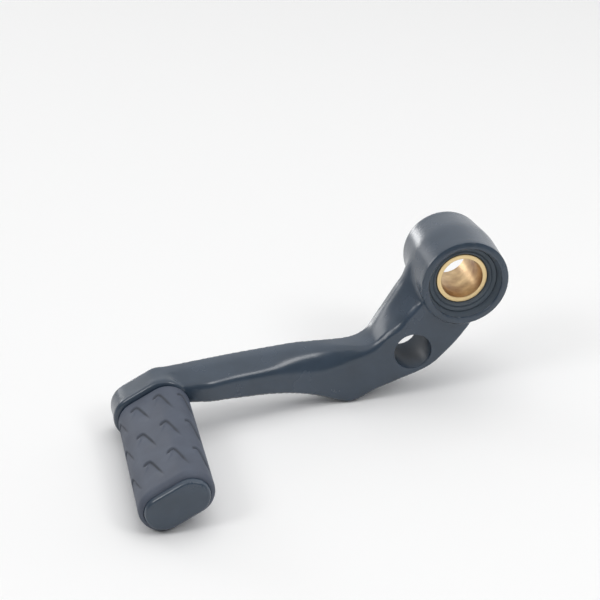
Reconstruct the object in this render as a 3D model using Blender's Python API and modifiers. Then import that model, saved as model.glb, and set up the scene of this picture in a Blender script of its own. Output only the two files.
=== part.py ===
"""Motorcycle gear shift lever: a cast lever that swings on a bronze pivot sleeve.

The lever lies as it does on a bench, on the underside of its toe peg and of its elbow. +X runs from the
toe peg to the pivot boss, +Y runs along the pivot axis away from the rider's foot, and +Z is up.
"""
import math
from collections import namedtuple

import bmesh
import bpy
import numpy as np
from mathutils import Vector

MM = 0.001

# Clearances
SEAT_GAP = 0.3 * MM
RUNNING_GAP = 0.1 * MM

# Pivot boss, drafted both ways from a crown at the casting's parting line
BOSS_CROWN_RADIUS = 14.2 * MM
BOSS_CROWN_SETBACK = 12.0 * MM
BOSS_FRONT_RADIUS = 13.7 * MM
BOSS_REAR_RADIUS = 12.9 * MM
BOSS_LENGTH = 26.4 * MM
BOSS_FRONT_EDGE = 0.4 * MM
BOSS_REAR_EDGE = 0.6 * MM
RECESS_RADIUS = 11.4 * MM
RECESS_CHAMFER = 0.4 * MM
LEDGE_SETBACK = 1.6 * MM
LEDGE_WIDTH = 0.6 * MM

# Pivot sleeve and dust seals
SLEEVE_OUTER_RADIUS = 8.0 * MM
SLEEVE_BORE_RADIUS = 6.5 * MM
SLEEVE_SETBACK = 4.1 * MM
SLEEVE_CHAMFER = 0.3 * MM
SEAL_SETBACK = 3.3 * MM
SEAL_THICKNESS = 2.2 * MM
SEAL_LIP_WIDTH = 1.0 * MM
SEAL_GROOVE_WIDTH = 0.35 * MM
SEAL_GROOVE_DEPTH = 0.7 * MM

# Toe peg, an obround stub that carries the rubber
PEG_REACH = 97.2 * MM
PEG_DROP = 29.2 * MM
PEG_TILT = math.radians(28.5)
PEG_SPREAD = 8.5 * MM
STUB_RADIUS = 4.2 * MM
FLANGE_RADIUS = 5.8 * MM
FLANGE_THICKNESS = 2.8 * MM
FLANGE_EDGE = 0.9 * MM
FLANGE_PROUD = 1.4 * MM
RUBBER_RADIUS = 7.0 * MM
RUBBER_LENGTH = 49.0 * MM
RUBBER_EDGE = 1.1 * MM

# Pad that the rubber butts against
PAD_FRONT = -7.0 * MM
PAD_THICKNESS = 10.0 * MM
PAD_LIP = 0.6 * MM
PAD_EDGE = 0.8 * MM

# Arm, elbow and web
WEB_SETBACK = 1.2 * MM
WEB_THICKNESS = 15.3 * MM
ARM_WIDTH = 11.2 * MM
ARM_PROUD = 0.7 * MM
ARM_RISE = 0.7 * MM
ELBOW_REACH = 36.3 * MM
BACK_BAND = 4.5 * MM
BAND_DRAFT = 0.7 * MM
LOWER_EDGE = 1.2 * MM
BACK_EDGE = 1.0 * MM

# Linkage hole
LINK_REACH = 15.6 * MM
LINK_DROP = 21.9 * MM
LINK_RADIUS = 5.9 * MM
LINK_WALL = 2.4 * MM
LINK_CHAMFER = 0.3 * MM

# Facets
ROUND_STEPS = 64
PEG_STEPS = 48
EDGE_STEPS = 3
LOFT_STEPS = 7

Section = namedtuple("Section", "bottom top front back bevel bevel_depth facet_drop band_drop")


def obround_reach(radius):
    """Half the width along X of an obround at the peg's tilt."""
    return PEG_SPREAD / 2 * math.cos(PEG_TILT) + radius


def obround_rise(radius):
    """Half the height along Z of an obround at the peg's tilt."""
    return PEG_SPREAD / 2 * math.sin(PEG_TILT) + radius


# Places that follow from the sizes above, measured from the pivot axis at the boss's front face
PIVOT_HEIGHT = PEG_DROP + obround_rise(RUBBER_RADIUS)
FLANGE_END = SEAT_GAP + RUBBER_LENGTH + FLANGE_PROUD
PAD_RADIUS = RUBBER_RADIUS + PAD_LIP
SEAT_RADIUS = RECESS_RADIUS - LEDGE_WIDTH
PAD_CENTRE = (-PEG_REACH - PAD_LIP, -PEG_DROP + PAD_LIP)
LEFT_END = PAD_CENTRE[0] - obround_reach(PAD_RADIUS)
FRONT_END = PAD_FRONT - FLANGE_END
PIVOT_PLACE = Vector((-(LEFT_END + BOSS_CROWN_RADIUS) / 2, -(FRONT_END + BOSS_LENGTH) / 2, PIVOT_HEIGHT))


def clear_scene():
    for item in list(bpy.data.objects):
        bpy.data.objects.remove(item, do_unlink=True)


def new_collection(name):
    group = bpy.data.collections.new(name)
    bpy.context.scene.collection.children.link(group)
    return group


def new_material(name, colour, roughness, metallic):
    made = bpy.data.materials.new(name)
    made.use_nodes = True
    shader = made.node_tree.nodes["Principled BSDF"]
    shader.inputs["Base Color"].default_value = (*colour, 1.0)
    shader.inputs["Roughness"].default_value = roughness
    shader.inputs["Metallic"].default_value = metallic
    return made


def place(item, group, parent, location=(0.0, 0.0, 0.0), rotation=(0.0, 0.0, 0.0)):
    group.objects.link(item)
    item.parent = parent
    item.location = location
    item.rotation_euler = rotation


def corner_arc(centre, radius, start, end):
    """Points of a quarter round in a turned profile, from one angle in degrees to another."""
    angles = [math.radians(start + (end - start) * k / EDGE_STEPS) for k in range(EDGE_STEPS + 1)]
    return [(centre[0] + radius * math.cos(a), centre[1] + radius * math.sin(a)) for a in angles]


def turned(name, profile, steps, ring=False):
    """A profile of (radius, height) points, outer side top to bottom, turned about Z."""
    half_step = math.pi / steps
    points = [(r * math.cos(half_step), r * math.sin(half_step), h) for r, h in profile]
    edges = [(k, k + 1) for k in range(len(points) - 1)]
    if ring:
        edges.append((len(points) - 1, 0))
    mesh = bpy.data.meshes.new(name)
    mesh.from_pydata(points, edges, [])
    item = bpy.data.objects.new(name, mesh)
    screw = item.modifiers.new("turn", "SCREW")
    screw.axis = "Z"
    screw.angle = math.tau
    screw.steps = steps
    screw.render_steps = steps
    screw.use_merge_vertices = True
    screw.merge_threshold = 0.000005
    screw.use_smooth_shade = True
    return item


def stretch_to_obround(item):
    """Bakes the turned shape and pulls its two halves apart along X by the peg's spread."""
    depsgraph = bpy.context.evaluated_depsgraph_get()
    baked = bpy.data.meshes.new_from_object(item.evaluated_get(depsgraph))
    for vertex in baked.vertices:
        if abs(vertex.co.x) > SEAT_GAP / 10:
            vertex.co.x += math.copysign(PEG_SPREAD / 2, vertex.co.x)
    item.modifiers.clear()
    item.data = baked
    return item


def combine(item, other, operation):
    joined = item.modifiers.new(operation.lower(), "BOOLEAN")
    joined.operation = operation
    joined.object = other
    joined.solver = "EXACT"


def peg_profile():
    """The stub with its end flange, from the flange's face down into the pad."""
    shoulder = FLANGE_END - FLANGE_THICKNESS
    rim = corner_arc((FLANGE_RADIUS - FLANGE_EDGE, FLANGE_END - FLANGE_EDGE), FLANGE_EDGE, 90, 0)
    root = -PAD_THICKNESS / 2
    return [
        (0.0, FLANGE_END),
        *rim,
        (FLANGE_RADIUS, shoulder),
        (STUB_RADIUS, shoulder),
        (STUB_RADIUS, root),
        (0.0, root),
    ]


def pad_profile():
    inner = PAD_RADIUS - PAD_EDGE
    front_rim = corner_arc((inner, -PAD_EDGE), PAD_EDGE, 90, 0)
    back_rim = corner_arc((inner, PAD_EDGE - PAD_THICKNESS), PAD_EDGE, 0, -90)
    return [(0.0, 0.0), *front_rim, *back_rim, (0.0, -PAD_THICKNESS)]


def rubber_profile():
    """A sleeve that fills the stub between the pad and the flange, with a pocket for the flange."""
    end = SEAT_GAP + RUBBER_LENGTH
    pocket = FLANGE_END - FLANGE_THICKNESS - SEAT_GAP
    outer = corner_arc((RUBBER_RADIUS - RUBBER_EDGE, end - RUBBER_EDGE), RUBBER_EDGE, 60, 0)
    mouth = (FLANGE_RADIUS + SEAT_GAP, end - SEAT_GAP)
    return [
        *outer,
        (RUBBER_RADIUS, SEAT_GAP),
        (STUB_RADIUS + SEAT_GAP, SEAT_GAP),
        (STUB_RADIUS + SEAT_GAP, pocket),
        (FLANGE_RADIUS + SEAT_GAP, pocket),
        mouth,
    ]


def boss_profile():
    front_rim = corner_arc((BOSS_FRONT_RADIUS - BOSS_FRONT_EDGE, -BOSS_FRONT_EDGE), BOSS_FRONT_EDGE, 90, 0)
    rear = BOSS_REAR_EDGE - BOSS_LENGTH
    rear_rim = corner_arc((BOSS_REAR_RADIUS - BOSS_REAR_EDGE, rear), BOSS_REAR_EDGE, 0, -90)
    crown = []
    for share in (-0.2, 0.0, 0.2):
        height = -BOSS_CROWN_SETBACK * (1 + share)
        flat = BOSS_CROWN_RADIUS - BOSS_FRONT_RADIUS
        crown.append((BOSS_CROWN_RADIUS - flat * abs(share), height))
    return [(0.0, 0.0), *front_rim, *crown, *rear_rim, (0.0, -BOSS_LENGTH)]


def pivot_bore_profile():
    """The cut through the boss: a stepped recess for a seal at each end, and the running bore."""
    floor = SEAL_SETBACK + SEAL_THICKNESS + SEAT_GAP
    bore = SLEEVE_OUTER_RADIUS + RUNNING_GAP
    mouth = RECESS_RADIUS + RECESS_CHAMFER
    return [
        (0.0, SEAL_SETBACK),
        (mouth, SEAL_SETBACK),
        (mouth, 0.0),
        (RECESS_RADIUS, -RECESS_CHAMFER),
        (RECESS_RADIUS, -LEDGE_SETBACK),
        (SEAT_RADIUS, -LEDGE_SETBACK),
        (SEAT_RADIUS, -floor),
        (bore, -floor),
        (bore, floor - BOSS_LENGTH),
        (SEAT_RADIUS, floor - BOSS_LENGTH),
        (SEAT_RADIUS, LEDGE_SETBACK - BOSS_LENGTH),
        (RECESS_RADIUS, LEDGE_SETBACK - BOSS_LENGTH),
        (RECESS_RADIUS, RECESS_CHAMFER - BOSS_LENGTH),
        (mouth, -BOSS_LENGTH),
        (mouth, -BOSS_LENGTH - SEAL_SETBACK),
        (0.0, -BOSS_LENGTH - SEAL_SETBACK),
    ]


def link_hole_profile():
    back = WEB_SETBACK + 2 * WEB_THICKNESS
    flare = LINK_RADIUS + LINK_CHAMFER
    return [
        (0.0, 0.0),
        (flare, 0.0),
        (flare, -WEB_SETBACK),
        (LINK_RADIUS, -WEB_SETBACK - LINK_CHAMFER),
        (LINK_RADIUS, -back),
        (0.0, -back),
    ]


def sleeve_profile():
    outer, bore, cut = SLEEVE_OUTER_RADIUS, SLEEVE_BORE_RADIUS, SLEEVE_CHAMFER
    top, bottom = -SLEEVE_SETBACK, SLEEVE_SETBACK - BOSS_LENGTH
    return [
        (outer - cut / 2, top),
        (outer, top - cut / 2),
        (outer, bottom + cut / 2),
        (outer - cut / 2, bottom),
        (bore + cut, bottom),
        (bore, bottom + cut),
        (bore, top - cut),
        (bore + cut, top),
    ]


def seal_profile():
    """A flat ring with a raised lip round the sleeve and a groove behind it. Its face is at height 0."""
    outer = SEAT_RADIUS - SEAT_GAP
    inner = SLEEVE_OUTER_RADIUS + RUNNING_GAP
    lip = inner + SEAL_LIP_WIDTH
    groove = lip + SEAL_GROOVE_WIDTH
    return [
        (groove + SEAL_GROOVE_WIDTH, 0.0),
        (outer - SEAT_GAP, 0.0),
        (outer, -SEAT_GAP),
        (outer, -SEAL_THICKNESS),
        (inner, -SEAL_THICKNESS),
        (inner, -SEAL_LIP_WIDTH),
        (inner + SEAL_LIP_WIDTH / 2, 0.0),
        (lip, 0.0),
        (groove, -SEAL_GROOVE_DEPTH),
    ]


def rounded(corner, before, after, radius):
    """Replaces a corner of a section's outline by a short arc."""
    corner, before, after = Vector(corner), Vector(before), Vector(after)
    back, ahead = (before - corner).normalized(), (after - corner).normalized()
    half_angle = back.angle(ahead) / 2
    centre = corner + (back + ahead).normalized() * (radius / math.sin(half_angle))
    reach = radius / math.tan(half_angle)
    first = (corner + back * reach - centre).normalized()
    last = (corner + ahead * reach - centre).normalized()
    return [tuple(centre + first.slerp(last, k / EDGE_STEPS) * radius) for k in range(EDGE_STEPS + 1)]


def section_outline(section):
    """The section's corners as 3-D points: front face, bevel, sloped facet, band behind it and back."""
    bottom, top = Vector(section.bottom), Vector(section.top)
    height = (top - bottom).length
    rise = (top - bottom).normalized()
    shoulder = height - section.facet_drop
    front_low, back_low = (section.front, 0.0), (section.back, 0.0)
    bevel_low = (section.front, shoulder - section.bevel)
    bevel_top = (section.front + section.bevel_depth, shoulder)
    band = (section.back - BACK_BAND, height)
    back_top = (section.back, height - section.band_drop)
    outline = [
        *rounded(front_low, back_low, bevel_low, LOWER_EDGE),
        bevel_low,
        bevel_top,
        band,
        *rounded(back_top, band, back_low, BACK_EDGE),
        *rounded(back_low, back_top, front_low, LOWER_EDGE),
    ]
    return [(bottom.x + rise.x * h, y, bottom.y + rise.y * h) for y, h in outline]


def arm_sections():
    """Sections from inside the pad to the elbow. Each is upright, under a straight top line.

    The place is a share of the run from the pad to the elbow, and the sidestep a share of the way from the
    arm's front to the web's. The other columns are shares of the arm's width.
    """
    pad_edge = PAD_CENTRE[0] + obround_reach(PAD_RADIUS)
    run = -ELBOW_REACH - pad_edge
    top_line = PAD_CENTRE[1] + obround_rise(PAD_RADIUS) + ARM_RISE
    start_front = PAD_FRONT - ARM_PROUD
    sideways = WEB_SETBACK - start_front
    # place, sidestep, dip, depth, width, bevel, bevel depth, facet drop
    table = [
        (-0.134, 0.31, 0.071, 0.714, 0.705, 0.089, 0.071, 0.179),
        (0.070, 0.00, -0.009, 0.839, 1.000, 0.089, 0.071, 0.259),
        (0.300, 0.33, 0.000, 0.973, 0.946, 0.143, 0.071, 0.286),
        (0.560, 0.62, 0.000, 1.107, 0.893, 0.241, 0.098, 0.277),
        (0.690, 0.77, 0.000, 1.241, 0.857, 0.464, 0.188, 0.143),
        (0.820, 0.91, 0.045, 1.402, 0.821, 0.652, 0.304, -0.027),
        (0.950, 0.99, 0.098, 1.594, 0.839, 0.473, 0.259, -0.018),
    ]
    sections = []
    for place_along, sidestep, *shares in table:
        dip, depth, width, bevel, bevel_depth, facet_drop = (share * ARM_WIDTH for share in shares)
        x = pad_edge + run * place_along
        top = top_line - dip
        front = start_front + sideways * sidestep
        ends = ((x, top - depth), (x, top))
        sections.append(Section(*ends, front, front + width, bevel, bevel_depth, facet_drop, 0.0))
    return sections


def web_sections():
    """Sections that turn up from the elbow, pass the linkage hole and end inside the boss.

    Their top face twists: it is level over the elbow and falls towards the front at the boss. The columns
    after the bottom point are shares of the boss's radius.
    """
    boss = BOSS_FRONT_RADIUS
    full = WEB_THICKNESS / boss
    draft = BAND_DRAFT / boss

    def round_hole(angle, wall):
        reach = LINK_RADIUS + wall
        turn = math.radians(angle)
        return (-LINK_REACH + reach * math.cos(turn), -LINK_DROP + reach * math.sin(turn))

    # bottom, top x, top z, thickness, bevel, bevel depth, facet drop, band drop
    table = [
        ((0.102 * boss - ELBOW_REACH, -PIVOT_HEIGHT), -2.526, -1.423, 0.715, 0.248, 0.161, 0.007, 0.0),
        ((-2.007 * boss, -2.555 * boss), -2.080, -1.365, 0.891, 0.117, 0.095, 0.022, 0.007),
        ((-1.423 * boss, -2.343 * boss), -1.766, -1.022, 1.066, 0.080, 0.066, 0.109, draft),
        (round_hole(-68, LINK_WALL), -1.526, -0.693, full, 0.073, 0.058, 0.234, draft),
        (round_hole(-40, 1.25 * LINK_WALL), -1.336, -0.394, full, 0.073, 0.058, 0.270, draft),
        ((-0.292 * boss, -1.693 * boss), -1.212, -0.197, full, 0.073, 0.058, 0.314, draft),
        ((0.073 * boss, -1.263 * boss), -1.109, 0.088, full, 0.073, 0.058, 0.467, draft),
        ((0.400 * boss, -0.700 * boss), -0.850, 0.450, full, 0.073, 0.058, 0.467, draft),
    ]
    sections = []
    for bottom, *shares in table:
        top_x, top_z, thickness, *edges = (share * boss for share in shares)
        sections.append(Section(bottom, (top_x, top_z), WEB_SETBACK, WEB_SETBACK + thickness, *edges))
    return sections


def smooth_sections(keys):
    """Cubic interpolation through the key sections, spaced by the distance between their middles."""
    rows = np.array([[*key.bottom, *key.top, *key[2:]] for key in keys])
    middles = (rows[:, 0:2] + rows[:, 2:4]) / 2
    knots = np.concatenate([[0.0], np.cumsum(np.linalg.norm(np.diff(middles, axis=0), axis=1))])
    slopes = np.gradient(rows, knots, axis=0)
    sections = []
    for k in range(len(keys) - 1):
        span = knots[k + 1] - knots[k]
        for step in range(LOFT_STEPS):
            t = step / LOFT_STEPS
            row = (
                (2 * t**3 - 3 * t**2 + 1) * rows[k]
                + (t**3 - 2 * t**2 + t) * span * slopes[k]
                + (3 * t**2 - 2 * t**3) * rows[k + 1]
                + (t**3 - t**2) * span * slopes[k + 1]
            )
            sections.append(row)
    sections.append(rows[-1])
    return [Section(tuple(row[0:2]), tuple(row[2:4]), *row[4:]) for row in sections]


def lofted(name, sections):
    """A skin of quads between the outlines of the sections, closed at both ends."""
    shape = bmesh.new()
    loops = [[shape.verts.new(point) for point in section_outline(section)] for section in sections]
    count = len(loops[0])
    for near, far in zip(loops, loops[1:]):
        for k in range(count):
            shape.faces.new((near[k], near[(k + 1) % count], far[(k + 1) % count], far[k]))
    shape.faces.new(loops[0])
    shape.faces.new(loops[-1])
    bmesh.ops.recalc_face_normals(shape, faces=shape.faces)
    mesh = bpy.data.meshes.new(name)
    shape.to_mesh(mesh)
    shape.free()
    return bpy.data.objects.new(name, mesh)


def show_as_guide(item):
    item.hide_render = True
    item.display_type = "WIRE"


def build():
    clear_scene()
    parts = new_collection("gear_shift_lever")
    cutters = new_collection("cutters")

    satin_black = new_material("satin_black_casting", (0.018, 0.021, 0.025), 0.38, 0.0)
    bronze = new_material("sintered_bronze", (0.62, 0.40, 0.18), 0.35, 1.0)
    seal_rubber = new_material("seal_rubber", (0.02, 0.02, 0.022), 0.6, 0.0)
    grip_rubber = new_material("grip_rubber", (0.055, 0.06, 0.068), 0.75, 0.0)

    pivot = bpy.data.objects.new("pivot_axis", None)
    parts.objects.link(pivot)
    pivot.location = PIVOT_PLACE

    # A turned piece's Z axis points to the front, which is -Y
    to_front = (math.pi / 2, 0.0, 0.0)
    to_back = (-math.pi / 2, 0.0, 0.0)
    to_peg = (math.pi / 2, -PEG_TILT, 0.0)
    at_pivot = (0.0, 0.0, 0.0)
    at_pad = (PAD_CENTRE[0], PAD_FRONT, PAD_CENTRE[1])
    at_peg = (-PEG_REACH, PAD_FRONT, -PEG_DROP)
    at_hole = (-LINK_REACH, 0.0, -LINK_DROP)

    lever = turned("lever_arm", boss_profile(), ROUND_STEPS)
    place(lever, parts, pivot, at_pivot, to_front)
    arm = lofted("arm_blank", smooth_sections(arm_sections() + web_sections()))
    place(arm, cutters, pivot)
    pad = turned("pad_blank", pad_profile(), PEG_STEPS)
    place(pad, cutters, pivot, at_pad, to_peg)
    peg = turned("peg_blank", peg_profile(), PEG_STEPS)
    place(peg, cutters, pivot, at_peg, to_peg)
    pivot_bore = turned("pivot_bore", pivot_bore_profile(), ROUND_STEPS)
    place(pivot_bore, cutters, pivot, at_pivot, to_front)
    link_hole = turned("link_hole", link_hole_profile(), ROUND_STEPS)
    place(link_hole, cutters, pivot, at_hole, to_front)
    for blank in (pad, peg):
        stretch_to_obround(blank)
    for blank in (arm, pad, peg):
        combine(lever, blank, "UNION")
    for cutter in (pivot_bore, link_hole):
        combine(lever, cutter, "DIFFERENCE")
    for guide in (arm, pad, peg, pivot_bore, link_hole):
        show_as_guide(guide)
    lever.data.materials.append(satin_black)

    sleeve = turned("pivot_sleeve", sleeve_profile(), ROUND_STEPS, ring=True)
    place(sleeve, parts, pivot, at_pivot, to_front)
    sleeve.data.materials.append(bronze)

    front_seal = turned("front_dust_seal", seal_profile(), ROUND_STEPS, ring=True)
    place(front_seal, parts, pivot, (0.0, SEAL_SETBACK, 0.0), to_front)
    rear_seal = turned("rear_dust_seal", seal_profile(), ROUND_STEPS, ring=True)
    place(rear_seal, parts, pivot, (0.0, BOSS_LENGTH - SEAL_SETBACK, 0.0), to_back)
    for seal in (front_seal, rear_seal):
        seal.data.materials.append(seal_rubber)

    rubber = turned("toe_rubber", rubber_profile(), PEG_STEPS, ring=True)
    place(rubber, parts, pivot, at_peg, to_peg)
    stretch_to_obround(rubber)
    rubber.data.materials.append(grip_rubber)


build()
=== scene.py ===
"""A motorcycle gear shift lever on a white table.

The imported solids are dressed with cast, turned and moulded skins.
"""
import math

import bpy
import numpy as np
from mathutils import Matrix, Vector


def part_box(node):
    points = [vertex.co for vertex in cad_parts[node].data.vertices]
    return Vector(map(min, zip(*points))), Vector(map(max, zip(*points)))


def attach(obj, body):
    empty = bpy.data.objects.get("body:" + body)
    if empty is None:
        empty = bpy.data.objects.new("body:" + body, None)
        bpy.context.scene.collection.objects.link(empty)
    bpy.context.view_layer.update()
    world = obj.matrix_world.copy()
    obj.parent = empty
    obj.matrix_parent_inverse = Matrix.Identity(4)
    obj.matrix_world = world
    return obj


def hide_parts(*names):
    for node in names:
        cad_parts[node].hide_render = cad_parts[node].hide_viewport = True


MM = 0.001

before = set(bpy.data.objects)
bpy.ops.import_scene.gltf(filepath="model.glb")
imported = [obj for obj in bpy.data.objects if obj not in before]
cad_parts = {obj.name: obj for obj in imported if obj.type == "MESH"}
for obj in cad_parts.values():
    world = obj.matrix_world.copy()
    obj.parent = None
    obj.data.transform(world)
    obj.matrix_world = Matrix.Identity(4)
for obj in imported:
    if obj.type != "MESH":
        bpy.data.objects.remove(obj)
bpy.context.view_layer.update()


def middle(node):
    low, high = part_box(node)
    return (Vector(low) + Vector(high)) / 2


# Sizes of the solids
BOSS_LENGTH = 26.4 * MM
WEB_MIDDLE = 9 * MM
LINKAGE_LEFT = 15.6 * MM
LINKAGE_DOWN = 22.15 * MM
PEG_TILT = math.radians(28.5)
GRIP_RADIUS = 7.0 * MM
GRIP_SPREAD = 8.5 * MM

# Places read from the solids: the pivot axis runs along Y through the sleeve,
# and the peg axis through the rubber
pivot = middle("pivot_sleeve")
boss_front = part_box("lever_arm")[1][1] - BOSS_LENGTH
mid_web = boss_front + WEB_MIDDLE
peg = middle("toe_rubber")
peg_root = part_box("toe_rubber")[1][1]
peg_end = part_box("lever_arm")[0][1]
linkage = Vector((pivot.x - LINKAGE_LEFT, 0, pivot.z - LINKAGE_DOWN))


# Hand tools

# Edges that bend more than this get a round rim
RIM_ANGLE = math.radians(28)


def deselect():
    if bpy.context.mode != "OBJECT":
        bpy.ops.object.mode_set(mode="OBJECT")
    bpy.ops.object.select_all(action="DESELECT")


def take(piece):
    deselect()
    piece.select_set(True)
    bpy.context.view_layer.objects.active = piece


def named(name):
    piece = bpy.context.object
    piece.name = name
    piece.data.name = name
    return piece


def select_where(piece, part, test):
    """Selects the vertices, edges or polygons of a piece in edit mode that pass the test."""
    bpy.ops.mesh.select_all(action="DESELECT")
    bpy.ops.object.mode_set(mode="OBJECT")
    kinds = ("vertices", "edges", "polygons")
    bpy.context.tool_settings.mesh_select_mode = tuple(part == kind for kind in kinds)
    for item in getattr(piece.data, part):
        item.select = test(item)
    bpy.ops.object.mode_set(mode="EDIT")


def apply_modifiers(piece):
    take(piece)
    for modifier in list(piece.modifiers):
        bpy.ops.object.modifier_apply(modifier=modifier.name)


def soften(piece, degrees):
    take(piece)
    bpy.ops.object.shade_smooth_by_angle(angle=math.radians(degrees))


def pull_rings(name, profile, sides):
    """A closed ring of revolution about Z: a circle is extruded from point to point of the profile.

    The profile is a list of (radius, height), and its last ring is bridged to its first.
    """
    deselect()
    radius, height = profile[0]
    bpy.ops.mesh.primitive_circle_add(vertices=sides, radius=radius, location=(0, 0, height))
    bpy.ops.object.transform_apply(location=True, rotation=True, scale=True)
    piece = named(name)
    bpy.ops.object.mode_set(mode="EDIT")
    bpy.ops.mesh.select_all(action="SELECT")
    for next_radius, next_height in profile[1:]:
        step = {"value": (0, 0, next_height - height)}
        bpy.ops.mesh.extrude_edges_move(TRANSFORM_OT_translate=step)
        grow = next_radius / radius
        bpy.ops.transform.resize(value=(grow, grow, 1), center_override=(0, 0, next_height))
        radius, height = next_radius, next_height
    bpy.ops.mesh.select_mode(type="EDGE")
    bpy.ops.mesh.select_all(action="DESELECT")
    bpy.ops.mesh.select_non_manifold()
    bpy.ops.mesh.bridge_edge_loops()
    bpy.ops.mesh.select_all(action="SELECT")
    bpy.ops.mesh.normals_make_consistent(inside=False)
    bpy.ops.object.mode_set(mode="OBJECT")
    return piece


def round_rims(piece, width, segments=3):
    rim = piece.modifiers.new("rims", "BEVEL")
    rim.width = width
    rim.segments = segments
    rim.limit_method = "ANGLE"
    rim.angle_limit = RIM_ANGLE
    apply_modifiers(piece)


def lay_along_y(piece, place, turn):
    """Puts a ring that was pulled about Z on an axis along Y and bakes its place into its mesh."""
    take(piece)
    piece.matrix_world = Matrix.Translation(place) @ Matrix.Rotation(turn, 4, "X")
    bpy.ops.object.transform_apply(location=True, rotation=True, scale=True)


def places_of(piece):
    places = np.empty(len(piece.data.vertices) * 3)
    piece.data.vertices.foreach_get("co", places)
    return places.reshape(-1, 3)


def note(piece, name, values):
    """Keeps one number for each vertex under a name that a material can read."""
    piece.data.attributes.new(name, "FLOAT", "POINT").data.foreach_set("value", values)


def rising(value, start, width):
    """0 up to the start, and from there up to 1 over the width."""
    return np.clip((value - start) / width, 0, 1)


def falling(value, level, width):
    """The level, less 1 for each width of the value, kept from 0 to 1."""
    return np.clip(level - value / width, 0, 1)


# Materials


def linear(hex_colour):
    values = [int(hex_colour[k:k + 2], 16) / 255 for k in (1, 3, 5)]
    return tuple(v / 12.92 if v <= 0.04045 else ((v + 0.055) / 1.055) ** 2.4 for v in values) + (1.0,)


def usable(sockets, key):
    if isinstance(key, int):
        return sockets[key]
    return next(socket for socket in sockets if socket.name == key and socket.enabled)


def add(tree, kind, settings=None, links=None):
    """Adds a node, sets its properties or sockets by name, and links its inputs to other nodes' outputs."""
    node = tree.nodes.new(kind)
    for key, value in (settings or {}).items():
        if hasattr(node, key):
            setattr(node, key, value)
        else:
            usable(node.inputs, key).default_value = value
    for key, (source, output) in (links or {}).items():
        tree.links.new(usable(source.outputs, output), usable(node.inputs, key))
    return node


def new_finish(name):
    finish = bpy.data.materials.new(name)
    finish.use_nodes = True
    tree = finish.node_tree
    shader = tree.nodes["Principled BSDF"]
    where = add(tree, "ShaderNodeTexCoord")
    return finish, tree, shader, where


def shade_between(tree, factor, output, dark, light, start=0.0, end=1.0):
    ramp = add(tree, "ShaderNodeValToRGB", {}, {"Fac": (factor, output)})
    ramp.color_ramp.elements[0].position = start
    ramp.color_ramp.elements[0].color = linear(dark)
    ramp.color_ramp.elements[1].position = end
    ramp.color_ramp.elements[1].color = linear(light)
    return ramp


def satin_black_coat():
    """Satin coat on an aluminium casting: a blue-black skin with a soft sheen and a fine orange peel."""
    finish, tree, shader, where = new_finish("satin_black_coat_on_cast_aluminium")
    # Casting skin, clouds about 9 mm across
    clouds = add(tree, "ShaderNodeTexNoise", {"Scale": 110.0, "Detail": 4.0}, {"Vector": (where, "Object")})
    tone = shade_between(tree, clouds, "Fac", "#2c3946", "#3a495a", 0.1, 0.9)
    # The boss's recesses and the linkage hole get a lighter grey, partly dust and partly painted fill light
    # against their shade, and a dry coat
    dust_and_fill = add(tree, "ShaderNodeAttribute", {"attribute_name": "dust_and_fill_light"})
    lifted_and_dusty = add(tree, "ShaderNodeMix", {"data_type": "RGBA", "B": linear("#4a5560")},
                {"Factor": (dust_and_fill, "Fac"), "A": (tone, "Color")})
    tree.links.new(usable(lifted_and_dusty.outputs, "Result"), shader.inputs["Base Color"])
    sheen = add(tree, "ShaderNodeMapRange",
                {"From Min": 0.1, "From Max": 0.9, "To Min": 0.19, "To Max": 0.32},
                {"Value": (clouds, "Fac")})
    dry = add(tree, "ShaderNodeMix", {"B": 0.85}, {"Factor": (dust_and_fill, "Fac"), "A": (sheen, "Result")})
    tree.links.new(usable(dry.outputs, "Result"), shader.inputs["Roughness"])
    # Orange peel of the coat, about 0.7 mm from crest to crest
    peel = add(tree, "ShaderNodeTexNoise", {"Scale": 1400.0, "Detail": 2.0}, {"Vector": (where, "Object")})
    bump = add(tree, "ShaderNodeBump", {"Strength": 0.05, "Distance": 0.0002}, {"Height": (peel, "Fac")})
    tree.links.new(bump.outputs["Normal"], shader.inputs["Normal"])
    shader.inputs["IOR"].default_value = 1.6
    return finish


def moulded_grip_rubber():
    """Moulded rubber of a foot peg: matt slate grey, darker along the tread's steps with painted shade and
    some dirt.
    """
    finish, tree, shader, where = new_finish("moulded_grip_rubber")
    # Bloom in patches about 6 mm across
    bloom = add(tree, "ShaderNodeTexNoise", {"Scale": 160.0, "Detail": 5.0}, {"Vector": (where, "Object")})
    tone = shade_between(tree, bloom, "Fac", "#404653", "#515968", 0.1, 0.9)
    # Grime gathers in the tread
    # Painted shade, with some dirt, along the tread's steps
    step = add(tree, "ShaderNodeAttribute", {"attribute_name": "tread"})
    step_shade_and_grime = add(tree, "ShaderNodeMix", {"data_type": "RGBA", "B": linear("#23272d")},
                {"Factor": (step, "Fac"), "A": (tone, "Color")})
    tree.links.new(usable(step_shade_and_grime.outputs, "Result"), shader.inputs["Base Color"])
    shader.inputs["Roughness"].default_value = 0.6
    # Spark-eroded mould grain, about 0.36 mm, drawn twice as coarse as real so that it shows
    grain = add(tree, "ShaderNodeTexNoise", {"Scale": 2800.0, "Detail": 2.0}, {"Vector": (where, "Object")})
    bump = add(tree, "ShaderNodeBump", {"Strength": 0.12, "Distance": 0.0002}, {"Height": (grain, "Fac")})
    tree.links.new(bump.outputs["Normal"], shader.inputs["Normal"])
    return finish


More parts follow.
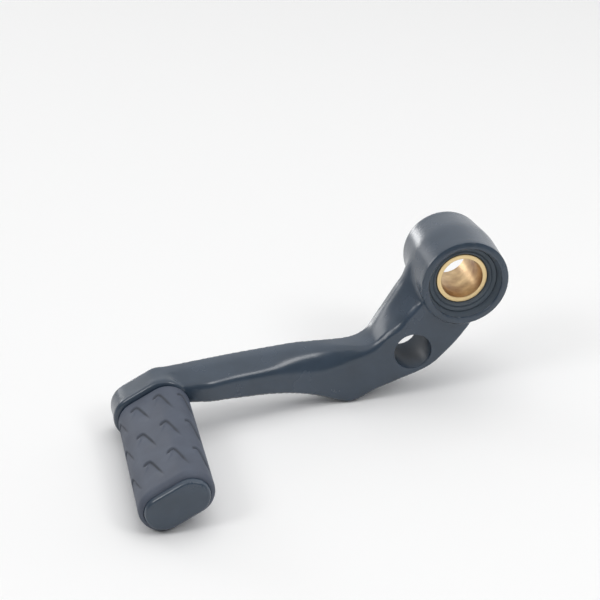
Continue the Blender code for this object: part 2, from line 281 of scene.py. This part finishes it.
def reamed_bronze():
    """Sintered bronze bush, reamed: warm gold with fine rings of the tool and brown oil stains."""
    finish, tree, shader, where = new_finish("reamed_sintered_bronze")
    shader.inputs["Metallic"].default_value = 1.0
    # Oil stains, about 5 mm across
    stains = add(tree, "ShaderNodeTexNoise", {"Scale": 200.0, "Detail": 6.0}, {"Vector": (where, "Object")})
    tone = shade_between(tree, stains, "Fac", "#96704f", "#e2c596", 0.3, 0.7)
    # The end faces are bright
    faced = add(tree, "ShaderNodeAttribute", {"attribute_name": "faced"})
    bright = add(tree, "ShaderNodeMix", {"data_type": "RGBA", "B": linear("#ecd2a0")},
                 {"Factor": (faced, "Fac"), "A": (tone, "Color")})
    tree.links.new(usable(bright.outputs, "Result"), shader.inputs["Base Color"])
    # Tool rings round the axis, 0.5 mm apart, drawn coarser than a real reamer's so that they show
    along = add(tree, "ShaderNodeMapping", {"Scale": (60.0, 2000.0, 60.0)}, {"Vector": (where, "Object")})
    rings = add(tree, "ShaderNodeTexNoise", {"Scale": 1.0, "Detail": 2.0}, {"Vector": (along, "Vector")})
    rough = add(tree, "ShaderNodeMapRange",
                {"From Min": 0.3, "From Max": 0.7, "To Min": 0.34, "To Max": 0.46},
                {"Value": (rings, "Fac")})
    tree.links.new(rough.outputs["Result"], shader.inputs["Roughness"])
    bump = add(tree, "ShaderNodeBump", {"Strength": 0.08, "Distance": 0.0001}, {"Height": (rings, "Fac")})
    tree.links.new(bump.outputs["Normal"], shader.inputs["Normal"])
    return finish


def lip_seal_rubber():
    """Nitrile rubber of a lip seal: smooth grey, lighter than the dark rubber as painted fill light against
    the recess's shade, with oily smears.
    """
    finish, tree, shader, where = new_finish("nitrile_lip_seal_rubber")
    # Smears, about 4 mm across
    smears = add(tree, "ShaderNodeTexNoise", {"Scale": 260.0, "Detail": 4.0}, {"Vector": (where, "Object")})
    # The grey is lighter than the rubber's own, as painted fill light in the recess
    tone = shade_between(tree, smears, "Fac", "#434e58", "#525c66", 0.1, 0.9)
    tree.links.new(tone.outputs["Color"], shader.inputs["Base Color"])
    rough = add(tree, "ShaderNodeMapRange",
                {"From Min": 0.3, "From Max": 0.7, "To Min": 0.5, "To Max": 0.62},
                {"Value": (smears, "Fac")})
    tree.links.new(rough.outputs["Result"], shader.inputs["Roughness"])
    return finish


def dress(piece, finish, slot, body, *nodes):
    piece.data.materials.clear()
    piece.data.materials.append(finish)
    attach(piece, body)
    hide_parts(*nodes)


# The casting

SKIN_VOXEL = 0.42 * MM

# The linkage hole: how far out its wall is looked for, and its drill, which is wider at the front
HOLE_REACH = 6.6 * MM
DRILL_FRONT = 6.46 * MM
DRILL_BACK = 4.63 * MM
DRILL_LENGTH = 40 * MM
DRILL_SIDES = 360

# Within these radii of the pivot and peg axes the rims stay tighter, in mm
TIGHT_AT_BOSS = 12.4
TIGHT_AT_PEG = 13.5

# Where the web runs into the boss: radius and half width of the root, and how far behind the front, in mm
ROOT_RADIUS = 14.6
ROOT_WIDTH = 2.4
ROOT_START = 1.9

# Painted fill light and dust: the boss's recesses by radius and depth from its middle, and the hole's wall,
# in mm
RECESS_RADIUS = 11.9
BOSS_MIDDLE = 13.2
RECESS_SPAN = 12.6
HOLE_WALL = 5.88

# Crest lines between the arm's top facet and its leaf-shaped bevel,
# in mm from the pivot axis and the boss's front
LEAF_SWELL = [(-54.4, -0.1, -21.3), (-51.0, 1.4, -20.1), (-48.0, 2.8, -19.3), (-45.0, 3.8, -18.8)]
LEAF_CREST = [(-48.0, 2.8, -19.3), (-43.5, 4.1, -18.8), (-39.2, 3.9, -19.4)]


def from_axis(places, axis):
    """Distance in mm of places from an axis along Y."""
    return np.hypot(places[:, 0] - axis.x, places[:, 2] - axis.z) / MM


def from_line(places, line):
    """Distance in mm of places from a line of points given from the pivot axis and the boss's front."""
    origin = np.array((pivot.x, boss_front, pivot.z))
    corners = [origin + np.array(corner) * MM for corner in line]
    nearest = np.full(len(places), 1.0)
    for one, other in zip(corners, corners[1:]):
        along = other - one
        share = np.clip((places - one) @ along / (along @ along), 0, 1)
        nearest = np.minimum(nearest, np.linalg.norm(places - one - share[:, None] * along, axis=1))
    return nearest / MM


def flatness(piece):
    """1 in the middle of a flat or gently bent face, 0 at its edges.

    Each vertex's normal is averaged with its neighbours', and a flat place is one where a short
    and a long averaging agree.
    """
    short, long = 9, 30
    mesh = piece.data
    pairs = np.empty(len(mesh.edges) * 2, dtype=np.int64)
    mesh.edges.foreach_get("vertices", pairs)
    one, other = pairs.reshape(-1, 2).T
    facing = np.empty(len(mesh.vertices) * 3)
    mesh.vertices.foreach_get("normal", facing)
    facing = facing.reshape(-1, 3)
    stages = []
    for _ in range(long):
        wider = facing.copy()
        np.add.at(wider, one, facing[other])
        np.add.at(wider, other, facing[one])
        facing = wider / np.linalg.norm(wider, axis=1)[:, None]
        stages.append(facing)
    agreement = (stages[short - 1] * stages[long - 1]).sum(axis=1)
    return rising(agreement, 0.995, 0.004)


def melt(piece, name, weights, rounds):
    """Smooths a piece by the weight of each vertex, from 0 to 1 in tenths."""
    group = piece.vertex_groups.new(name=name)
    for tenths in range(1, 11):
        chosen = np.flatnonzero(np.round(weights * 10) == tenths)
        group.add([int(k) for k in chosen], tenths / 10, "REPLACE")
    smooth = piece.modifiers.new(name, "SMOOTH")
    smooth.factor = 0.5
    smooth.iterations = rounds
    smooth.vertex_group = name
    apply_modifiers(piece)
    piece.vertex_groups.clear()


def plug_linkage_hole(piece):
    """Takes the wall out of the linkage hole of a piece in edit mode, and closes its two rims."""

    def hole_wall(face):
        spot = face.center
        off_axis = math.hypot(spot.x - linkage.x, spot.z - linkage.z)
        looks_across = abs(face.normal.y) < 0.95
        return looks_across and off_axis < HOLE_REACH

    select_where(piece, "polygons", hole_wall)
    bpy.ops.mesh.delete(type="FACE")
    bpy.ops.mesh.select_mode(type="EDGE")
    bpy.ops.mesh.select_all(action="DESELECT")
    bpy.ops.mesh.select_non_manifold()
    bpy.ops.object.mode_set(mode="OBJECT")
    rims = {edge.index for edge in piece.data.edges if edge.select}
    for side in (-1, 1):

        def rim_of_side(edge):
            start = piece.data.vertices[edge.vertices[0]].co
            return edge.index in rims and (start.y - mid_web) * side > 0

        bpy.ops.object.mode_set(mode="EDIT")
        select_where(piece, "edges", rim_of_side)
        bpy.ops.mesh.edge_face_add()
        bpy.ops.object.mode_set(mode="OBJECT")
    bpy.ops.object.mode_set(mode="EDIT")
    bpy.ops.mesh.select_all(action="SELECT")
    bpy.ops.mesh.normals_make_consistent(inside=False)
    bpy.ops.object.mode_set(mode="OBJECT")


def drill_linkage_hole(piece):
    deselect()
    bpy.ops.mesh.primitive_cone_add(
        vertices=DRILL_SIDES, radius1=DRILL_BACK, radius2=DRILL_FRONT, depth=DRILL_LENGTH,
        rotation=(math.pi / 2, 0, 0), location=(linkage.x, mid_web, linkage.z))
    drill = named("linkage_drill")
    cut = piece.modifiers.new("linkage_hole", "BOOLEAN")
    cut.operation = "DIFFERENCE"
    cut.solver = "EXACT"
    cut.object = drill
    apply_modifiers(piece)
    bpy.data.objects.remove(drill)


def melt_corners(piece):
    # Most corners are cast round, the boss's recesses, the pad and the peg's end keep tighter rims
    places = places_of(piece)
    tight = (from_axis(places, pivot) < TIGHT_AT_BOSS) | (from_axis(places, peg) < TIGHT_AT_PEG)
    melt(piece, "corners", np.where(tight, 0.4, 1.0), rounds=8)

    # The web flows into the boss's left and lower sides
    places = places_of(piece)
    around = np.arctan2(places[:, 2] - pivot.z, places[:, 0] - pivot.x)
    web_side = (around < math.radians(-60)) | (around > math.radians(150))
    behind = (places[:, 1] - boss_front) / MM
    root = falling(np.abs(from_axis(places, pivot) - ROOT_RADIUS), 1, ROOT_WIDTH)
    melt(piece, "boss_root", root * web_side * (behind > ROOT_START), rounds=40)

    # The leaf-shaped bevel swells out of the arm's top
    melt(piece, "leaf_crest", falling(from_line(places_of(piece), LEAF_CREST), 1.4, 2.6), rounds=60)
    melt(piece, "leaf_swell", falling(from_line(places_of(piece), LEAF_SWELL), 1.5, 3.4), rounds=300)
    melt(piece, "flats", flatness(piece), rounds=80)

    # The pad's lip and the peg's end flange have round rims, which catch the light
    places = places_of(piece)
    off_x, off_z = places[:, 0] - peg.x, places[:, 2] - peg.z
    level = off_x * math.cos(PEG_TILT) + off_z * math.sin(PEG_TILT)
    rise = off_z * math.cos(PEG_TILT) - off_x * math.sin(PEG_TILT)
    radial = np.hypot(np.maximum(np.abs(level) - GRIP_SPREAD / 2, 0), rise) / MM
    from_end = (places[:, 1] - peg_end) / MM
    from_seat = np.abs(places[:, 1] - peg_root) / MM
    flange_rim = falling(from_end, 2.2, 1) * rising(radial, 3.6, 1.2)
    pad_lip = falling(from_seat, 1.6, 1) * rising(radial, 6.6, 1) * (radial < 11)
    melt(piece, "end_rims", np.maximum(flange_rim, pad_lip), rounds=14)


def cast_lever():
    """The lever's solid with its corners melted to cast radii: remeshed fine, smoothed, and drilled."""
    deselect()
    piece = bpy.data.objects.new("cast_lever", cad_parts["lever_arm"].data.copy())
    bpy.context.scene.collection.objects.link(piece)
    piece.data.name = "cast_lever"
    take(piece)
    bpy.ops.object.mode_set(mode="EDIT")
    bpy.ops.mesh.select_all(action="SELECT")
    bpy.ops.mesh.remove_doubles(threshold=0.000001)

    # The linkage hole is plugged while the skin is melted, and drilled again with a crisp rim
    plug_linkage_hole(piece)
    skin = piece.modifiers.new("skin", "REMESH")
    skin.mode = "VOXEL"
    skin.voxel_size = SKIN_VOXEL
    apply_modifiers(piece)
    melt_corners(piece)
    drill_linkage_hole(piece)

    places = places_of(piece)
    deep = np.abs((places[:, 1] - boss_front) / MM - BOSS_MIDDLE) < RECESS_SPAN
    in_recess = (from_axis(places, pivot) < RECESS_RADIUS) & deep
    in_hole = from_axis(places, linkage) < HOLE_WALL
    # The recesses and the hole are painted lighter, as fill light against their shade, and hold dust
    note(piece, "dust_and_fill_light", np.where(in_recess | in_hole, 1.0, 0.0))
    soften(piece, 40)
    return piece


# The pivot

RING_SIDES = 144

# The outline of a seal's section, as radius and height in mm: flange, groove, lip
SEAL_PROFILE = [
    (10.7, -2.2), (10.7, 0.3), (10.4, 0.35), (9.9, 0.05), (9.65, -0.2), (9.4, -0.2),
    (9.15, 0.0), (8.8, 0.05), (8.3, -0.7), (8.12, -1.1), (8.12, -2.2),
]


def bronze_sleeve():
    """A turned bush with broken rims and bright end faces."""
    outer, bore, half = 8.0 * MM, 6.5 * MM, 9.1 * MM
    profile = [(outer, half), (outer, -half), (bore, -half), (bore, half)]
    piece = pull_rings("bronze_sleeve", profile, RING_SIDES)
    round_rims(piece, 0.22 * MM)
    end_face = half - 0.1 * MM
    note(piece, "faced", [1.0 if abs(v.co.z) > end_face else 0.0 for v in piece.data.vertices])
    lay_along_y(piece, pivot, math.pi / 2)
    soften(piece, 40)
    return piece


def lip_seal(name, face, turn):
    """A ring with a raised lip round the sleeve, a groove behind the lip and a flat flange."""
    piece = pull_rings(name, [(r * MM, h * MM) for r, h in SEAL_PROFILE], RING_SIDES)
    round_rims(piece, 0.08 * MM, 2)
    lay_along_y(piece, Vector((pivot.x, face, pivot.z)), turn)
    soften(piece, 40)
    return piece


# The grip

GRIP_SIDES = 200
GRIP_COLUMNS = 8
HOOK_ROWS = (4.4 * MM, 19.4 * MM, 34.4 * MM)
HOOK_COLUMN = -2.4 * MM
# A hook's share of the skin starts this far before its column
HOOK_LEAD = 3.6 * MM
# A hook's edge in mm from its crest, across the grip and towards its free end: foot, crest, leg
HOOK = [
    (-2.1, 0.55), (-1.75, 0.0), (-1.08, -0.38), (-0.4, -0.32),
    (0.1, 0.1), (0.6, 1.2), (1.8, 5.0), (3.3, 9.8),
]
# In mm: how deep a hook's step is, where its wall starts and how wide it is, how soon its floor climbs
HOOK_DEPTH = 0.5
WALL_START = -0.22
WALL_WIDTH = 0.36
FLOOR_LENGTH = 1.5
# The last part of a hook's leg runs out, and its foot fades over a length in mm
LEG_FADE = 0.12
FOOT_FADE = 0.4
# The painted shade along a step: strength, and place and width in mm
STEP_SHADE_LEVEL = 0.75
STEP_SHADE_PLACE = 0.05
STEP_SHADE_WIDTH = 0.28
# Farther in mm than any point of the skin is from a hook
FAR = 99.0


def to_hook(across, down):
    """Distance in mm of points from a hook's edge, also signed by its side, and the share along it."""
    nearest = np.full_like(across, FAR)
    signed = np.full_like(across, -FAR)
    reach = np.zeros_like(across)
    for k, ((x0, y0), (x1, y1)) in enumerate(zip(HOOK, HOOK[1:])):
        dx, dy = x1 - x0, y1 - y0
        share = np.clip(((across - x0) * dx + (down - y0) * dy) / (dx * dx + dy * dy), 0, 1)
        off_x, off_y = across - x0 - share * dx, down - y0 - share * dy
        gap = np.hypot(off_x, off_y)
        closer = gap < nearest
        signed = np.where(closer, np.where(dx * off_y - dy * off_x > 0, gap, -gap), signed)
        reach = np.where(closer, (k + share) / (len(HOOK) - 1), reach)
        nearest = np.where(closer, gap, nearest)
    return nearest, signed, reach


def hooks(around, along):
    """Depth of the tread in metres, and painted shade along its steps from 0 to 1, at points of the grip's
    skin.

    Each hook is a step down towards the free end, and the floor under it climbs back to the skin.
    """
    perimeter = math.tau * GRIP_RADIUS + 2 * GRIP_SPREAD
    pitch = perimeter / GRIP_COLUMNS
    across = ((around - HOOK_COLUMN + HOOK_LEAD) % pitch - HOOK_LEAD) / MM
    depth = np.zeros_like(across)
    step_shade = np.zeros_like(across)
    for row in HOOK_ROWS:
        nearest, signed, reach = to_hook(across, (along - row) / MM)
        past_foot = np.where(reach <= 0, nearest, 0)
        fade = rising(1.0 - reach, 0, LEG_FADE) * np.exp(-(past_foot / FOOT_FADE) ** 2)
        wall = rising(signed, WALL_START, WALL_WIDTH)
        floor = np.exp(-np.maximum(signed, 0) / FLOOR_LENGTH)
        depth = np.maximum(depth, HOOK_DEPTH * wall * floor * fade)
        step_shade = np.maximum(step_shade, STEP_SHADE_LEVEL * np.exp(-((signed - STEP_SHADE_PLACE) / STEP_SHADE_WIDTH) ** 2) * fade)
    return depth * MM, step_shade


def grip_profile():
    """The sleeve's wall from its seat to its rolled free end and back, as radius and height in mm."""
    skin, mouth, core, pocket = 7.0, 5.5, 4.5, 47.6
    roll_start, roll_height, roll_depth = 47.1, 2.0, 1.3
    profile = [(core, 0.35), (6.55, 0.35), (6.85, 0.5), (skin, 0.9)]
    for degrees in (0, 18, 36, 54, 72, 90):
        turn = math.radians(degrees)
        radius = skin - roll_depth * (1 - math.cos(turn))
        profile.append((radius, roll_start + roll_height * math.sin(turn)))
    return profile + [(mouth, 48.9), (mouth, pocket), (core, pocket)]


def cut_tread(piece):
    """Presses the hooks into the skin of the upright sleeve and paints shade along their steps."""
    places = places_of(piece)
    half = GRIP_SPREAD / 2
    sideways = np.where(places[:, 0] < 0, -1.0, 1.0)
    over = sideways * np.maximum(np.abs(places[:, 0]) - half, 0)
    radial = np.hypot(over, places[:, 1])
    turned_by = np.arctan2(np.abs(over), places[:, 1])
    from_middle = np.abs(places[:, 0])
    far_side = GRIP_SPREAD + math.pi * GRIP_RADIUS - from_middle
    on_flat = np.where(places[:, 1] > 0, from_middle, far_side)
    around = sideways * np.where(over != 0, half + GRIP_RADIUS * turned_by, on_flat)
    depth, step_shade = hooks(around, places[:, 2])
    on_skin = radial > GRIP_RADIUS * 0.97
    shrink = 1 - np.where(on_skin, depth, 0) / np.maximum(radial, MM)
    places[:, 0] += over * (shrink - 1)
    places[:, 1] *= shrink
    piece.data.vertices.foreach_set("co", places.ravel())
    # Painted shade along the steps, kept for the rubber's colour
    note(piece, "tread", np.where(on_skin, step_shade, 0))
    piece.data.update()


def grip():
    """A moulded sleeve: a ring is pulled to its profile, parted into an obround and cut with hooks."""
    piece = pull_rings("grip", [(r * MM, h * MM) for r, h in grip_profile()], GRIP_SIDES)
    take(piece)
    bpy.ops.object.mode_set(mode="EDIT")
    for side in (1, -1):
        select_where(piece, "vertices", lambda v: v.co.x * side > 0.00001 * MM)
        bpy.ops.transform.translate(value=(side * GRIP_SPREAD / 2, 0, 0))

    def ends(edge):
        return [piece.data.vertices[k].co for k in edge.vertices]

    def crosses(edge):
        one, other = ends(edge)
        return abs(one.x - other.x) > GRIP_SPREAD * 0.45

    def runs_along_skin(edge):
        one, other = ends(edge)
        outside = math.hypot(max(abs(one.x) - GRIP_SPREAD / 2, 0), one.y) > 6.9 * MM
        full_length = abs(one.z - other.z) > 40 * MM
        return outside and full_length

    # The two straight sides, and the skin along the peg, get rows fine enough for the tread
    select_where(piece, "edges", crosses)
    bpy.ops.mesh.subdivide(number_cuts=20)
    select_where(piece, "edges", runs_along_skin)
    bpy.ops.mesh.subdivide(number_cuts=220)
    bpy.ops.object.mode_set(mode="OBJECT")
    cut_tread(piece)

    # The top of the obround, the mesh's +Y, turns to the peg's upper side, and its +Z to the free end
    upright = Matrix(((1, 0, 0, 0), (0, 0, -1, 0), (0, 1, 0, 0), (0, 0, 0, 1)))
    tilt = Matrix.Rotation(-PEG_TILT, 4, "Y")
    take(piece)
    piece.matrix_world = Matrix.Translation((peg.x, peg_root + 0.3 * MM, peg.z)) @ tilt @ upright
    bpy.ops.object.transform_apply(location=True, rotation=True, scale=True)
    soften(piece, 50)
    return piece


# Table, light and camera

TABLE_SIDE = 6.0
# The lamps point at the middle of the lever
LAMP_AIM = Vector((0, 0, 0.02))

# The white sheet starts at an edge that is turned by this angle
SHEET_TURN = math.radians(27)
# Levels of the tent's light: the room from front to back, the sheet from left to right, the ceiling,
# and the share of all these that matt surfaces take
ROOM_DARK, ROOM_LIGHT = 0.19, 0.39
SHEET_LEFT, SHEET_RIGHT = 0.86, 1.25
CEILING = 1.03
MATT_SHARE = 0.7

# The photograph's viewpoint: sensor and lens in mm, and the eye's place in metres
# from the boss's front on the pivot axis
SENSOR = 36.0
LENS = 101.94
EYE = Vector((-0.1440, -0.4405, 0.2300))
EYE_TILT = math.radians(62.94)
EYE_TURN = math.radians(-11.87)


def table():
    """White paper under the lever."""
    deselect()
    bpy.ops.mesh.primitive_plane_add(size=TABLE_SIDE)
    piece = named("paper")
    finish, _, shader, _ = new_finish("white_paper")
    shader.inputs["Base Color"].default_value = linear("#f6f6f6")
    shader.inputs["Roughness"].default_value = 0.9
    shader.inputs["Specular IOR Level"].default_value = 0.1
    piece.data.materials.append(finish)


def softbox(name, place, width, height, power):
    lamp = bpy.data.lights.new(name, "AREA")
    lamp.shape = "RECTANGLE"
    lamp.size = width
    lamp.size_y = height
    lamp.energy = power
    holder = bpy.data.objects.new(name, lamp)
    holder.location = place
    aim = LAMP_AIM - holder.location
    holder.rotation_euler = aim.to_track_quat("-Z", "Y").to_euler()
    bpy.context.scene.collection.objects.link(holder)
    return holder


def white_tent():
    """A white sheet hangs behind the table and to its right, the ceiling is bright, and the room is dim."""
    world = bpy.data.worlds.new("white_tent")
    bpy.context.scene.world = world
    world.use_nodes = True
    tree = world.node_tree
    back = tree.nodes["Background"]
    where = add(tree, "ShaderNodeTexCoord")
    parts = add(tree, "ShaderNodeSeparateXYZ", {}, {"Vector": (where, "Generated")})
    sheet_edge = add(tree, "ShaderNodeVectorMath", {"operation": "DOT_PRODUCT"}, {0: (where, "Generated")})
    sheet_edge.inputs[1].default_value = (math.cos(SHEET_TURN), math.sin(SHEET_TURN), 0)
    right_of_edge = add(tree, "ShaderNodeMapRange", {"From Min": -0.09, "From Max": 0.05},
                        {"Value": (sheet_edge, "Value")})
    behind = add(tree, "ShaderNodeMapRange", {"From Min": -0.35, "From Max": 0.25}, {"Value": (parts, "Y")})
    on_sheet = add(tree, "ShaderNodeMath", {"operation": "MULTIPLY"},
                   {0: (right_of_edge, "Result"), 1: (behind, "Result")})
    room = add(tree, "ShaderNodeMapRange",
               {"From Min": -0.6, "From Max": 0.2, "To Min": ROOM_DARK, "To Max": ROOM_LIGHT},
               {"Value": (parts, "Y")})
    sheet_level = add(tree, "ShaderNodeMapRange",
                      {"From Min": 0.3, "From Max": 0.8, "To Min": SHEET_LEFT, "To Max": SHEET_RIGHT},
                      {"Value": (parts, "X")})
    walls = add(tree, "ShaderNodeMix", {},
                {"Factor": (on_sheet, "Value"), "A": (room, "Result"), "B": (sheet_level, "Result")})
    overhead = add(tree, "ShaderNodeMapRange", {"From Min": 0.5, "From Max": 0.75}, {"Value": (parts, "Z")})
    level = add(tree, "ShaderNodeMix", {"B": CEILING},
                {"Factor": (overhead, "Result"), "A": (walls, "Result")})
    # Matt surfaces take part of their light from the softbox above instead, and the gloss shows the tent
    path = add(tree, "ShaderNodeLightPath")
    share = add(tree, "ShaderNodeMapRange", {"To Min": 1.0, "To Max": MATT_SHARE},
                {"Value": (path, "Is Diffuse Ray")})
    strength = add(tree, "ShaderNodeMath", {"operation": "MULTIPLY"},
                   {0: (level, "Result"), 1: (share, "Result")})
    tree.links.new(strength.outputs["Value"], back.inputs["Strength"])
    back.inputs["Color"].default_value = linear("#ffffff")


def lamps():
    # A large softbox above lights the table and draws the shadow, and isn't seen in the gloss
    above = softbox("top_softbox", (0.2, 0.05, 0.9), 1.0, 0.8, 2.6)
    above.visible_glossy = False
    # Two lamps in front draw the glints along the crests and rims
    softbox("right_lamp", (0.50, -0.50, 0.69), 0.26, 0.26, 1.4)
    softbox("left_lamp", (-0.68, -0.27, 0.68), 0.3, 0.3, 1.5)
    # Two strips behind light the web's bend and back
    softbox("strip_softbox", (-0.60, 0.74, 0.33), 0.22, 0.4, 0.9)
    softbox("low_strip", (-0.36, 1.24, 0.09), 0.32, 0.16, 1.2)


def viewpoint():
    camera = bpy.data.cameras.new("camera")
    camera.sensor_width = SENSOR
    camera.lens = LENS
    camera.clip_start = 0.01
    eye = bpy.data.objects.new("camera", camera)
    eye.location = Vector((pivot.x, boss_front, pivot.z)) + EYE
    eye.rotation_euler = (EYE_TILT, 0.0, EYE_TURN)
    bpy.context.scene.collection.objects.link(eye)
    bpy.context.scene.camera = eye


coat = satin_black_coat()
seal_rubber = lip_seal_rubber()
dress(cast_lever(), coat, "satin_black_casting", "lever", "lever_arm")
dress(bronze_sleeve(), reamed_bronze(), "sintered_bronze", "pivot", "pivot_sleeve")
front_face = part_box("front_dust_seal")[0][1]
rear_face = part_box("rear_dust_seal")[1][1]
front_seal = lip_seal("front_seal", front_face, math.pi / 2)
dress(front_seal, seal_rubber, "seal_rubber", "lever", "front_dust_seal")
rear_seal = lip_seal("rear_seal", rear_face, -math.pi / 2)
dress(rear_seal, seal_rubber, "seal_rubber", "lever", "rear_dust_seal")
dress(grip(), moulded_grip_rubber(), "grip_rubber", "lever", "toe_rubber")
table()
bpy.context.scene.view_settings.view_transform = "Standard"
white_tent()
lamps()
viewpoint()
